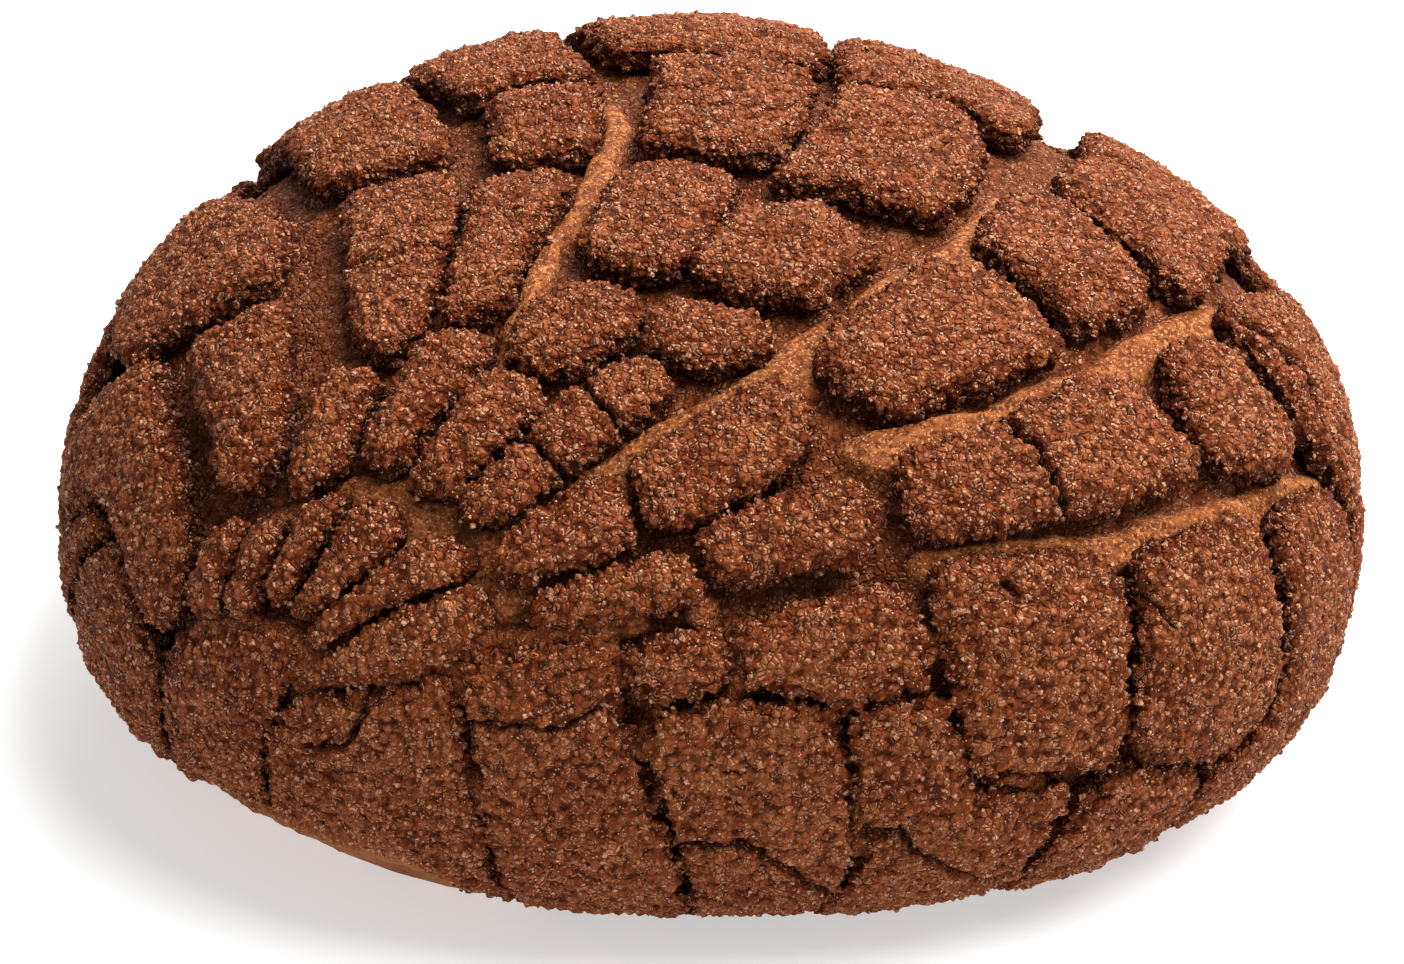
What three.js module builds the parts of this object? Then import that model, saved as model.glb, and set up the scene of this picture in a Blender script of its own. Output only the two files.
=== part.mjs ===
// Concha: a round sweet bun under a shell-patterned chocolate topping.
// Millimetres, +Z up, the bun resting on z = 0 and centred on the origin.
// The bun is one baked body. The topping is a paste laid over it and cut in a
// shell pattern before baking; it opens into separate tiles as the bun rises.
// +X is to the bun's right, -Y its front, where the fan of ribs has its hub.
import * as THREE from "three";

// Driving dimensions
const meanRadius = 55;
const crownHeight = 33.5;
const equatorHeight = 18.5;
const undersideDepth = 26;
const crownRoundness = 2.4;
const undersideRoundness = 2.5;
const ovalAmount = 0.06;
const ovalDirection = -20;
const threeLobeAmount = 0.045;
const threeLobeDirection = -23.5;
const leanToRight = 0.05;

const toppingThickness = 3.4;
const toppingEdgeHeight = 2.5;
const toppingClearance = 0.4;
const toppingArch = 0.45;
const edgeRounding = 0.7;
const cornerRounding = 1.0;

const rimArc = 85;
const bareRimRise = 5;
const bareRimDirection = 228;
const bareRimSpread = 16;
const frontRimDrop = 8.5;
const frontRimStart = [243, 253];
const frontRimEnd = [318, 343];
const skirtHeight = 2.2;

const outlineStep = 6.5;
const ringStep = 8;
const sharpCorner = 28;
const bunSectors = 54;
const bunRings = 19;
const bunSkirtRings = 4;
const profileSamples = 900;

// Tile outlines: points in millimetres of arc over the dome from its crown,
// [to the right, to the back]. Letters are columns of the fan, counted
// clockwise round the hub from the left; numbers are rows, outward from it.
const tileOutlines = {
  a1: [[-54.5, -37.2], [-51.2, -38.6], [-46.8, -34.5], [-46.2, -26], [-47.2, -16.5], [-48.5, -9.8],
    [-55, -8.4], [-63, -7.8], [-66, -10], [-65, -15.2], [-57.5, -20], [-54.6, -24], [-53.8, -30]],
  a2: [[-57.4, -22], [-65.8, -17], [-70, -14.2], [-90, -17], [-90, -23.6], [-71, -20.2],
    [-62, -22.6], [-57.2, -25]],
  a3: [[-62, -24], [-71, -21.6], [-90, -25.4], [-72, -49], [-62, -43.8], [-56.4, -40.2],
    [-56.4, -36], [-55.6, -31], [-56.5, -27.2]],
  b1: [[-43.7, -11.3], [-35, -11.2], [-34.6, -17], [-35.3, -24], [-36.3, -30], [-40.8, -31],
    [-41.3, -25], [-42.6, -17]],
  b2: [[-51, -7.6], [-36.2, -6.8], [-35.4, -1], [-38.5, 6.5], [-43, 14], [-50, 23], [-56, 17],
    [-56.5, 8], [-54.5, -1]],
  c1: [[-31.5, -22.6], [-28.5, -22.2], [-27.3, -24.3], [-28.3, -27.8], [-31, -33], [-33.3, -34.6],
    [-35.2, -34], [-34.8, -30.5], [-33, -26]],
  c2: [[-30, 2.6], [-22, 3], [-20.4, -1], [-20.4, -8.5], [-21.6, -15], [-23.6, -21],
    [-27.5, -21.6], [-28.3, -15], [-29.2, -6]],
  c3: [[-33.4, 7], [-28, 6], [-21.8, 6.6], [-23.3, 14], [-26.2, 24], [-33.5, 43.6], [-44, 33],
    [-38, 22], [-35.6, 14]],
  d1: [[-23, -21.6], [-20.3, -21.2], [-17.6, -22.6], [-17.4, -24.6], [-21, -29.2], [-24.4, -32.6],
    [-26.2, -35], [-28.6, -33.4], [-27.3, -29.5], [-25, -25.5]],
  d2: [[-17.6, 0.6], [-11.3, 0.4], [-10.2, -2], [-12.6, -7], [-14.6, -12], [-16.4, -19],
    [-21.4, -19.2], [-20.1, -13], [-19, -7], [-18.4, -3]],
  d3: [[-18.4, 16], [-15.4, 18], [-8.9, 16.2], [-8.4, 10], [-9.2, 4.2], [-17.4, 4], [-17.3, 9]],
  d4: [[-20.6, 18.4], [-15, 20], [-9.4, 18.4], [-10.8, 25], [-17, 52], [-29.5, 46.4],
    [-25.2, 29]],
  e1: [[-19.5, -29], [-17.6, -27.2], [-15.2, -29], [-13.6, -32.2], [-15.8, -35], [-20.4, -38.8],
    [-23.2, -39.2], [-24.4, -36.8], [-22.6, -33]],
  e2: [[-16.6, -24], [-14.6, -20.5], [-11.2, -17.6], [-8, -18.8], [-5.2, -21.3], [-6, -25],
    [-8.8, -27.6], [-11.4, -29.4], [-14.2, -27.8], [-16.6, -26]],
  e3: [[-4.8, 0.6], [-1.8, 0.6], [2.6, -1.8], [3.7, -4.6], [1.5, -10.5], [-1.6, -17.4], [-3, -17.8],
    [-6, -16], [-9.8, -13], [-8.4, -8], [-6.6, -2.8]],
  e4: [[-4.3, 4.8], [1.5, 2.6], [7.6, 1.4], [9.2, 5.8], [10.8, 12], [10.9, 20.6], [5, 21.6],
    [-3.4, 23], [-3.2, 15]],
  e5: [[-7, 25.4], [0, 24.4], [11.8, 22.6], [12.8, 30], [13, 53.4], [-13.5, 53.4], [-8.6, 32]],
  f1: [[-20.6, -40.4], [-15.4, -36.2], [-10, -31.6], [-5.4, -28.8], [-2.4, -31.2], [-2.2, -33.4],
    [-6.6, -37], [-12, -40.2], [-16.6, -43.2], [-20.4, -42.8]],
  f2: [[-3.4, -23.4], [-1.6, -22.2], [2, -22.8], [5, -24.4], [7.2, -26.2], [5.6, -28.6],
    [2, -30.8], [-0.8, -30.4], [-3.4, -28.2], [-4.2, -26]],
  f3: [[4.4, -6.8], [9, -6.2], [12, -8.4], [14.4, -13.4], [9.8, -21.2], [4, -20.4], [-0.4, -18],
    [1.8, -13]],
  f4: [[6, -3.2], [12.6, -4.2], [18.6, -7.4], [22.3, -1], [25.2, 5], [25, 14.2], [15.6, 17.4],
    [12.6, 9.6], [9.8, 3.2]],
  f5: [[15, 20.2], [25.4, 17], [28.2, 9.2], [31.6, 12], [34, 24], [38.5, 39.4], [16.5, 52.4],
    [15, 31]],
  g1: [[-18.4, -46.6], [-13, -43.2], [-8.2, -41.4], [-6.8, -43.4], [-5.6, -48], [-11, -49.6],
    [-16.8, -49.6]],
  g2: [[-6.2, -40.8], [0, -36.6], [6.2, -32], [8.8, -32.4], [10.4, -35], [9.4, -40.4],
    [4, -43.6], [-1.4, -47.2], [-4, -47.2], [-5, -43.6]],
  g3: [[10.6, -28.2], [14, -20.8], [19.8, -13.2], [24.4, -15.2], [29, -22], [23.8, -27.6],
    [17, -33], [13, -31]],
  g4: [[21.8, -10.2], [24, -6], [27.6, -1.4], [30.4, -3.6], [35.6, -10], [35.8, -14],
    [30.6, -19.4], [26, -14.2]],
  g5: [[31, 0.6], [35, 7], [38.5, 16], [43.6, 33.4], [54, 10], [46.8, 1.5], [43.4, -5.5],
    [40.4, -11.4], [37.2, -9.2], [33, -4.6]],
  h1: [[-16, -51.9], [-9, -50.9], [-0.8, -49.3], [0.3, -51.4], [0.5, -53.2], [-6, -54.6],
    [-15.4, -54.4]],
  h2: [[0.2, -48.2], [7, -44.6], [13.4, -41.6], [15.6, -42], [16.2, -46], [14.6, -48.6],
    [8, -50.6], [1.8, -51.8]],
  h3: [[18.2, -38.2], [25.6, -31.6], [31, -24.8], [35.6, -24.2], [41.6, -29.8], [38.6, -33.4],
    [30.4, -39.6], [21.4, -45.2], [18.6, -42]],
  h4: [[37.6, -20.4], [40.4, -16.4], [43, -15.4], [47, -18.2], [51.2, -20.8], [50.8, -24.4],
    [43.8, -28.8], [40.2, -25.4]],
  h5: [[43.6, -11], [47, -7], [51.5, -2.5], [57, 4.4], [61, -2], [65, -12], [63.6, -19],
    [58.5, -18.8], [53.8, -19.2], [49.4, -16.4], [43.8, -13]],
  i1: [[-6.8, -58.2], [1.6, -56.4], [3.8, -59.2], [3.2, -61.4], [-4.4, -62.6]],
  i2: [[3.6, -56.2], [11, -53.4], [18.6, -50.6], [21.2, -54], [22.6, -58], [16.2, -61],
    [5.2, -61], [5, -58.6]],
  i3: [[21.6, -47.6], [34, -41.6], [38, -43.8], [42, -50.6], [45, -56.6], [41, -60.2], [35, -62.8],
    [31.6, -65], [26.6, -57.6], [23, -50.6]],
  i4: [[39, -39.8], [48, -31.4], [55, -35.8], [61, -40.6], [60.4, -46], [57, -51.2], [49.4, -54.8],
    [45, -53.6], [42, -46.6]],
  i5: [[50.6, -30.2], [54.5, -25], [58.6, -21.6], [66, -22.4], [84, -30], [75, -49], [66.6, -58],
    [59.6, -52.4], [62.4, -46], [62.6, -40.2], [56, -34.6]],
  i6: [[46.6, -57.8], [50, -56.4], [57.6, -53], [65, -59.4], [62, -70], [49, -77], [44.6, -67]],
  j1: [[-23.4, -57], [-21, -55.8], [-10, -56.2], [-8.6, -60], [-8.6, -64], [-6.4, -68], [-4.6, -73],
    [-2, -79], [-1.6, -95], [-14.6, -94], [-29.5, -88.6], [-26.6, -77], [-25.2, -70], [-23.8, -63]],
  j2: [[-4.6, -64], [4, -62.4], [13, -62.2], [16, -65.6], [18, -70], [20.6, -75.6], [20.6, -94],
    [0.2, -95], [-0.6, -79], [-3, -73], [-4.6, -68.4]],
  j3: [[16.8, -62.7], [19.9, -60.2], [24.6, -58.6], [29, -64.2], [32.4, -66.4], [36, -64.2],
    [41.6, -61.6], [43, -67], [47.5, -79], [35, -87], [22, -93.6], [22, -75.4], [18.9, -69.2]],
  // k1 and k8 keep 1.5 to 2 mm from the ends of the fingers k2 to k7
  k1: [[-70, -50.5], [-61, -44.5], [-55.5, -41.5], [-51, -40.5], [-47.5, -42.5], [-44, -44.5],
    [-39.5, -45.5], [-38.5, -48], [-40.5, -50], [-47.5, -53.2], [-51.6, -57.6], [-56, -62]],
  k2: [[-48.6, -38.8], [-44.6, -34.2], [-42.2, -33.4], [-40.6, -35], [-43.6, -38.6],
    [-46.4, -41.4]],
  k3: [[-44.9, -41.4], [-40.2, -36.4], [-37.4, -35.6], [-36.4, -37.6], [-39.6, -40.4],
    [-42.8, -43.2]],
  k4: [[-40.5, -42.2], [-34.8, -36.8], [-32.2, -35.2], [-30.8, -36.8], [-35, -41], [-38.6, -44]],
  k5: [[-38, -44.9], [-34, -41.7], [-30.6, -38.2], [-28.4, -37.8], [-26.8, -40.8], [-27.4, -42.8],
    [-31, -44.4], [-35.2, -45.8]],
  k6: [[-36.4, -47], [-33, -46], [-27, -44.3], [-23.8, -43.6], [-20.8, -46], [-21.6, -47.7],
    [-28, -48], [-34, -48.6], [-37.4, -49.2]],
  k7: [[-38.6, -50.4], [-30, -49.1], [-21.8, -48.8], [-20.2, -51], [-22, -54.2], [-28, -54.6],
    [-33.4, -53.2], [-37.4, -51.6]],
  k8: [[-42, -52], [-38.5, -53], [-33.5, -55], [-28, -56.4], [-24.5, -56], [-25, -62],
    [-26.4, -70], [-30.8, -86], [-42, -78], [-55.4, -64], [-51.2, -58.4], [-47.6, -54.8]],
};

// Where an outline's own middle doesn't face all of its edge
const tileMiddles = {
  a1: [-52.5, -18],
  a2: [-66, -19.2],
  e5: [0, 36],
  i5: [67, -37],
  k1: [-55, -50],
  j3: [31, -73],
};

// Rim panels round the back: [from bearing, to bearing, arc to the inner
// corner at each], bearings in degrees anticlockwise from the right
const rimPanels = [
  [-17.5, 2.5, 70, 65],
  [4, 27, 58.5, 57],
  [28.5, 49.5, 57, 57],
  [51, 72.5, 57, 57],
  [74, 95.5, 57, 57],
  [97, 118.5, 57, 57],
  [120, 141.5, 57, 57],
  [143, 165, 57, 60.5],
  [166.5, 189.5, 60.5, 69.5],
];

// Dome surface

function radians(degrees) {
  return (degrees * Math.PI) / 180;
}

// Radius and height of the mean profile, tabled by arc from the crown
function makeProfile() {
  const points = [];
  for (let i = 0; i <= profileSamples; i += 1) {
    const turn = ((Math.PI / 2) * i) / profileSamples;
    const radius = meanRadius * Math.pow(Math.sin(turn), 2 / crownRoundness);
    const rise = crownHeight * Math.pow(Math.max(Math.cos(turn), 0), 2 / crownRoundness);
    points.push([radius, equatorHeight + rise]);
  }
  for (let i = 1; i <= profileSamples; i += 1) {
    const drop = (equatorHeight * i) / profileSamples;
    const tuck = Math.pow(drop / undersideDepth, undersideRoundness);
    points.push([meanRadius * Math.pow(1 - tuck, 1 / undersideRoundness), equatorHeight - drop]);
  }
  let arc = 0;
  return points.map(([radius, height], i) => {
    if (i > 0) {
      arc += Math.hypot(radius - points[i - 1][0], height - points[i - 1][1]);
    }
    return { arc, radius, height };
  });
}

const profile = makeProfile();
const baseArc = profile[profile.length - 1].arc;

function profileAt(arc) {
  let low = 0;
  let high = profile.length - 1;
  while (high - low > 1) {
    const middle = (low + high) >> 1;
    if (profile[middle].arc <= arc) {
      low = middle;
    } else {
      high = middle;
    }
  }
  const a = profile[low];
  const b = profile[high];
  const t = Math.min(Math.max((arc - a.arc) / (b.arc - a.arc), 0), 1);
  return { radius: a.radius + (b.radius - a.radius) * t, height: a.height + (b.height - a.height) * t };
}

// Point on the outside of the topping, by arc to the right and to the back
function domePoint(right, back) {
  const bearing = Math.atan2(back, right);
  const { radius, height } = profileAt(Math.hypot(right, back));
  const oval = ovalAmount * Math.cos(2 * (bearing - radians(ovalDirection)));
  const lobes = threeLobeAmount * Math.cos(3 * (bearing - radians(threeLobeDirection)));
  const reach = radius * (1 + oval + lobes);
  const x = reach * Math.cos(bearing);
  const lean = (leanToRight * x * height) / (equatorHeight + crownHeight);
  return new THREE.Vector3(x, reach * Math.sin(bearing), height + lean);
}

function domeNormal(right, back) {
  const step = 0.2;
  const across = domePoint(right + step, back).sub(domePoint(right - step, back));
  const along = domePoint(right, back + step).sub(domePoint(right, back - step));
  return across.cross(along).normalize();
}

// Point at a height above the crust under the topping
function overCrust(right, back, height) {
  const offset = domeNormal(right, back).multiplyScalar(height - toppingThickness);
  return domePoint(right, back).add(offset);
}

function smoothStep(from, to, x) {
  const t = Math.min(Math.max((x - from) / (to - from), 0), 1);
  return t * t * (3 - 2 * t);
}

// Arc from the crown to the topping's lower edge; it stops short at one side
// and runs down nearly to the table along the front
function rimArcAt(bearing) {
  const turn = ((bearing * 180) / Math.PI + 720) % 360;
  const away = (turn - bareRimDirection) / bareRimSpread;
  const front = smoothStep(...frontRimStart, turn) * (1 - smoothStep(...frontRimEnd, turn));
  return rimArc - bareRimRise * Math.exp(-away * away) + frontRimDrop * front;
}

// Outlines

function heldInsideRim([right, back]) {
  const arc = Math.hypot(right, back);
  const limit = rimArcAt(Math.atan2(back, right));
  const keep = arc > limit ? limit / arc : 1;
  return [right * keep, back * keep];
}

function turnAt(before, corner, after) {
  const into = Math.atan2(corner[1] - before[1], corner[0] - before[0]);
  const out = Math.atan2(after[1] - corner[1], after[0] - corner[0]);
  return Math.abs(Math.atan2(Math.sin(out - into), Math.cos(out - into)));
}

function toward(from, to, distance) {
  const gap = Math.hypot(to[0] - from[0], to[1] - from[1]);
  const t = Math.min(distance / gap, 0.35);
  return [from[0] + (to[0] - from[0]) * t, from[1] + (to[1] - from[1]) * t];
}

function withRoundedCorners(corners) {
  const count = corners.length;
  return corners.flatMap((corner, i) => {
    const before = corners[(i + count - 1) % count];
    const after = corners[(i + 1) % count];
    if (turnAt(before, corner, after) < radians(sharpCorner)) {
      return [corner];
    }
    return [toward(corner, before, cornerRounding), toward(corner, after, cornerRounding)];
  });
}

function withStepsAlongEdges(points) {
  return points.flatMap((point, i) => {
    const next = points[(i + 1) % points.length];
    const length = Math.hypot(next[0] - point[0], next[1] - point[1]);
    const pieces = Math.max(1, Math.round(length / outlineStep));
    return Array.from({ length: pieces }, (_, k) => [
      point[0] + ((next[0] - point[0]) * k) / pieces,
      point[1] + ((next[1] - point[1]) * k) / pieces,
    ]);
  });
}

function signedArea(points) {
  return points.reduce((sum, [x, y], i) => {
    const [nextX, nextY] = points[(i + 1) % points.length];
    return sum + (x * nextY - nextX * y) / 2;
  }, 0);
}

function tileOutline(corners) {
  const turned = signedArea(corners) > 0 ? corners : [...corners].reverse();
  const held = turned.map(heldInsideRim);
  return withStepsAlongEdges(withRoundedCorners(held)).map(heldInsideRim);
}

function middleOf(points) {
  const area = signedArea(points);
  const sums = points.reduce(
    ([sumX, sumY], [x, y], i) => {
      const [nextX, nextY] = points[(i + 1) % points.length];
      const weight = x * nextY - nextX * y;
      return [sumX + (x + nextX) * weight, sumY + (y + nextY) * weight];
    },
    [0, 0],
  );
  return [sums[0] / (6 * area), sums[1] / (6 * area)];
}

// Meshes

function meshFrom(name, positions, triangles, material) {
  const geometry = new THREE.BufferGeometry();
  const flat = positions.flatMap((point) => [point.x, point.y, point.z]);
  geometry.setAttribute("position", new THREE.Float32BufferAttribute(flat, 3));
  geometry.setIndex(triangles.flat());
  geometry.computeVertexNormals();
  const mesh = new THREE.Mesh(geometry, material);
  mesh.name = name;
  return mesh;
}

function band(lower, upper, count) {
  return Array.from({ length: count }, (_, i) => {
    const next = (i + 1) % count;
    return [
      [lower + i, lower + next, upper + next],
      [lower + i, upper + next, upper + i],
    ];
  }).flat();
}

function fan(ring, tip, count) {
  return Array.from({ length: count }, (_, i) => [ring + i, ring + ((i + 1) % count), tip]);
}

// A pad with an upright side, a rounded top edge and a gently curved face.
// Levels run from the middle of its underside round to the middle of its top.
function tileMesh(name, outline, middle, material) {
  const reach = Math.max(...outline.map(([x, y]) => Math.hypot(x - middle[0], y - middle[1])));
  const innerRings = Math.max(1, Math.round(reach / ringStep) - 1);
  const levels = [];
  for (let k = 1; k <= innerRings; k += 1) {
    levels.push({ spread: k / (innerRings + 1), inset: 0, height: toppingClearance + toppingArch });
  }
  levels.push({ spread: 1, inset: 0, height: toppingClearance });
  levels.push({ spread: 1, inset: 0, height: toppingEdgeHeight });
  levels.push({ spread: 1, inset: edgeRounding, height: toppingThickness - 0.25 });
  for (let k = innerRings; k >= 1; k -= 1) {
    levels.push({ spread: k / (innerRings + 1), inset: 0, height: toppingThickness });
  }
  const positions = levels.flatMap(({ spread, inset, height }) =>
    outline.map(([x, y]) => {
      const away = Math.hypot(x - middle[0], y - middle[1]);
      const share = spread - inset / away;
      const right = middle[0] + (x - middle[0]) * share;
      const back = middle[1] + (y - middle[1]) * share;
      return overCrust(right, back, height);
    }),
  );
  const count = outline.length;
  const underside = positions.length;
  positions.push(overCrust(middle[0], middle[1], toppingClearance + toppingArch));
  positions.push(overCrust(middle[0], middle[1], toppingThickness));
  const lastRing = (levels.length - 1) * count;
  const triangles = [
    ...fan(0, underside, count).map(([a, b, c]) => [b, a, c]),
    ...levels.slice(1).flatMap((_, k) => band(k * count, (k + 1) * count, count)),
    ...fan(lastRing, underside + 1, count),
  ];
  return meshFrom(name, positions, triangles, material);
}

// The crust lies one topping thickness inside the dome, and swells out toward
// it below the topping's edge
function crustHeight(arc, bearing) {
  const start = rimArcAt(bearing) + 0.4;
  const t = Math.min(Math.max((arc - start) / (baseArc - start), 0), 1);
  return skirtHeight * (1 - (1 - t) * (1 - t));
}

// Most rings lie under the topping; the last few cover the bare skirt below it
function bunRingArc(ring, bearing) {
  const covered = bunRings - bunSkirtRings;
  const start = rimArcAt(bearing) + 0.4;
  if (ring <= covered) {
    return (start * ring) / covered;
  }
  return start + ((baseArc - start) * (ring - covered)) / bunSkirtRings;
}

function bunMesh(material) {
  const positions = [overCrust(0, 0, 0)];
  for (let ring = 1; ring <= bunRings; ring += 1) {
    for (let sector = 0; sector < bunSectors; sector += 1) {
      const bearing = (2 * Math.PI * sector) / bunSectors;
      const arc = bunRingArc(ring, bearing);
      const height = crustHeight(arc, bearing);
      const point = overCrust(arc * Math.cos(bearing), arc * Math.sin(bearing), height);
      if (ring === bunRings) {
        point.z = 0;
      }
      positions.push(point);
    }
  }
  positions.push(new THREE.Vector3(0, 0, 0));
  const triangles = fan(1, 0, bunSectors);
  for (let ring = 1; ring < bunRings; ring += 1) {
    const upper = 1 + (ring - 1) * bunSectors;
    triangles.push(...band(upper + bunSectors, upper, bunSectors));
  }
  const base = 1 + (bunRings - 1) * bunSectors;
  const tip = positions.length - 1;
  triangles.push(...fan(base, tip, bunSectors).map(([a, b, c]) => [b, a, c]));
  return meshFrom("bun", positions, triangles, material);
}

function rimPanelCorners([from, to, innerFrom, innerTo]) {
  const outer = rimArc + 5;
  const corner = (bearing, arc) => [
    arc * Math.cos(radians(bearing)),
    arc * Math.sin(radians(bearing)),
  ];
  const half = (from + to) / 2;
  return [
    corner(from, innerFrom),
    corner(from, outer),
    corner(half, outer),
    corner(to, outer),
    corner(to, innerTo),
    corner(half, (innerFrom + innerTo) / 2),
  ];
}

// Assembly

function centreOnFootprint(group) {
  const box = new THREE.Box3();
  group.children.forEach((mesh) => box.expandByObject(mesh));
  const middle = box.getCenter(new THREE.Vector3());
  group.children.forEach((mesh) => mesh.geometry.translate(-middle.x, -middle.y, -box.min.z));
}

function crustMaterial() {
  return new THREE.MeshStandardMaterial({ color: 0xb8743a, roughness: 0.75, metalness: 0 });
}

function toppingMaterial() {
  return new THREE.MeshStandardMaterial({ color: 0x7a4530, roughness: 0.85, metalness: 0 });
}

function buildConcha() {
  const concha = new THREE.Group();
  const crust = crustMaterial();
  const topping = toppingMaterial();
  concha.add(bunMesh(crust));
  Object.entries(tileOutlines).forEach(([name, corners]) => {
    const outline = tileOutline(corners);
    const middle = tileMiddles[name] ?? middleOf(outline);
    concha.add(tileMesh(`topping_tile_${name}`, outline, middle, topping));
  });
  rimPanels.forEach((panel, i) => {
    const outline = tileOutline(rimPanelCorners(panel));
    concha.add(tileMesh(`topping_rim_${i + 1}`, outline, middleOf(outline), topping));
  });
  centreOnFootprint(concha);
  return concha;
}

export default buildConcha();
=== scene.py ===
"""A chocolate concha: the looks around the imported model. Metres, +Z up, the model's own frame.

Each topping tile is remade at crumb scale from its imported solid, and the bun from its own.
The sculpting works in millimetres, on a map of the dome: (right, back) are arcs from the crown.
"""

import math

import bpy
import numpy as np
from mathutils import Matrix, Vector
from mathutils.bvhtree import BVHTree


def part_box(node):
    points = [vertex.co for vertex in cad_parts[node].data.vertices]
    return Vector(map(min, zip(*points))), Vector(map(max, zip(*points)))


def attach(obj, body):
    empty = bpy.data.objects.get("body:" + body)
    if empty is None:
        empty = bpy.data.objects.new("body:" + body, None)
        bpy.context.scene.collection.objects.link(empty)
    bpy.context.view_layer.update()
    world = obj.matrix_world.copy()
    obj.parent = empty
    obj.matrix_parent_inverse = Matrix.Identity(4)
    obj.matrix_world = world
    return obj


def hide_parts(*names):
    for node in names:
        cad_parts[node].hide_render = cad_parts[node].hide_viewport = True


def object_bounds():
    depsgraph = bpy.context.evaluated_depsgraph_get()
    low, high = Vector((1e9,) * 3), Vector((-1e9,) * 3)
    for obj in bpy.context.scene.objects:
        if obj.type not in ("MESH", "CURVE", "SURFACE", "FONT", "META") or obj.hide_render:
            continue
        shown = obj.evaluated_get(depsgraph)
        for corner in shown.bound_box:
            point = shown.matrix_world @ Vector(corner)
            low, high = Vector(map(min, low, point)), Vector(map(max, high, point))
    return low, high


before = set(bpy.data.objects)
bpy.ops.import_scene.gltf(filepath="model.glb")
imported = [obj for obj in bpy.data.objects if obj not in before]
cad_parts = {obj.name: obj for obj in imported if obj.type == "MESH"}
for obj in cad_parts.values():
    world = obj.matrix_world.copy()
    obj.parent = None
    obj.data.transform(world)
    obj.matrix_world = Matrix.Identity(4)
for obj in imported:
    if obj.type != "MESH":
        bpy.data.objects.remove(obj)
cad_low, cad_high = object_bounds()

MM = 0.001

# The dome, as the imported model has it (mm, degrees)
MEAN_RADIUS = 55.0
CROWN_HEIGHT = 33.5
EQUATOR_HEIGHT = 18.5
UNDERSIDE_DEPTH = 26.0
CROWN_ROUNDNESS = 2.4
UNDERSIDE_ROUNDNESS = 2.5
OVAL_AMOUNT = 0.06
OVAL_DIRECTION = -20.0
THREE_LOBE_AMOUNT = 0.045
THREE_LOBE_DIRECTION = -23.5
LEAN_TO_RIGHT = 0.05
TOPPING_THICKNESS = 3.4
DOME_AXIS = np.array([-1.19, -2.46, 0.0])

TILE_VOXEL = 0.23
RIM_VOXEL = 0.34
BUN_VOXEL = 0.42
FINGER_SHARE = 0.8
TILE_SMOOTHING = 1
BUN_SMOOTHING = 2

# Crumbs, edges and sugar (mm)
FOOT_SPREAD = 1.1
TOP_SPREAD = 0.55
CRACK_GAP = 0.35
FINGER_CALM = 0.6
COURSE_DEPTH = 0.45
WIDE_GAP = 9.0
LOOSE_CRUMB_RISE = 2.3
SUGAR_PER_SQUARE_MM = 0.36
SUGAR_HALF_SIZE = 0.15
BEAD_SIZE = 0.62

# Where the ribs meet, on the map
HUB = np.array([-22.0, -44.0])

# Thin tiles beside the hub, which are sculpted finer and calmer
FINGERS = ("k2", "k3", "k4", "k5", "k6", "k7")

# Camera (mm, degrees), floor and room
CAMERA_ELEVATION = 33.0
CAMERA_DISTANCE = 450.0
CAMERA_TARGET_HEIGHT = 22.0
CAMERA_LENS = 129.0
CAMERA_SHIFT = (0.0066, -0.0261)
FLOOR_HALF = 3.0
FLOOR_GREY = 0.6
FLOOR_GLOW = 0.52
ROOM_LIGHT = 0.41

# Colours as 0-255 screen values
COLOURS = {
    "paste": (128, 61, 28),
    "paste_light": (147, 79, 43),
    # Redder broken paste on the tile walls, darkened with painted shade
    "shaded_broken_edge": (98, 38, 11),
    "shaded_broken_edge_light": (134, 64, 26),
    # Painted shade in the crevices between sugar beads
    "seam_shade": (60, 16, 2),
    # Painted shade in the low places of the crumb
    "pit_shade": (58, 16, 2),
    # Painted shade in tiny pits, as dark specks
    "small_pit_shade": (74, 24, 5),
    # Painted shade at the foot of the tiles, where they meet the bread
    "foot_shade": (48, 14, 3),
    # Painted shade inside cracks
    "crack_shade": (30, 8, 2),
    # Painted highlight on the rims of sugar beads
    "grain_rim_highlight": (222, 158, 116),
    # Painted highlight on the tops of the grains
    "grain_top_highlight": (200, 138, 102),
    # Painted glints on the sugar
    "painted_glint": (238, 194, 160),
    "crystal": (138, 78, 46),
    "crystal_light": (222, 166, 130),
    "stain": (128, 66, 30),
    "crust": (108, 52, 20),
    "crust_light": (156, 92, 48),
    # Painted shade in the crust's pores, as dark specks
    "crust_pore_shade": (82, 34, 10),
    "crust_fleck": (208, 144, 92),
    # Painted glints on the bare crust
    "crust_painted_glint": (236, 188, 144),
    "sole": (140, 80, 36),
    "sole_light": (178, 112, 60),
}

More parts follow.
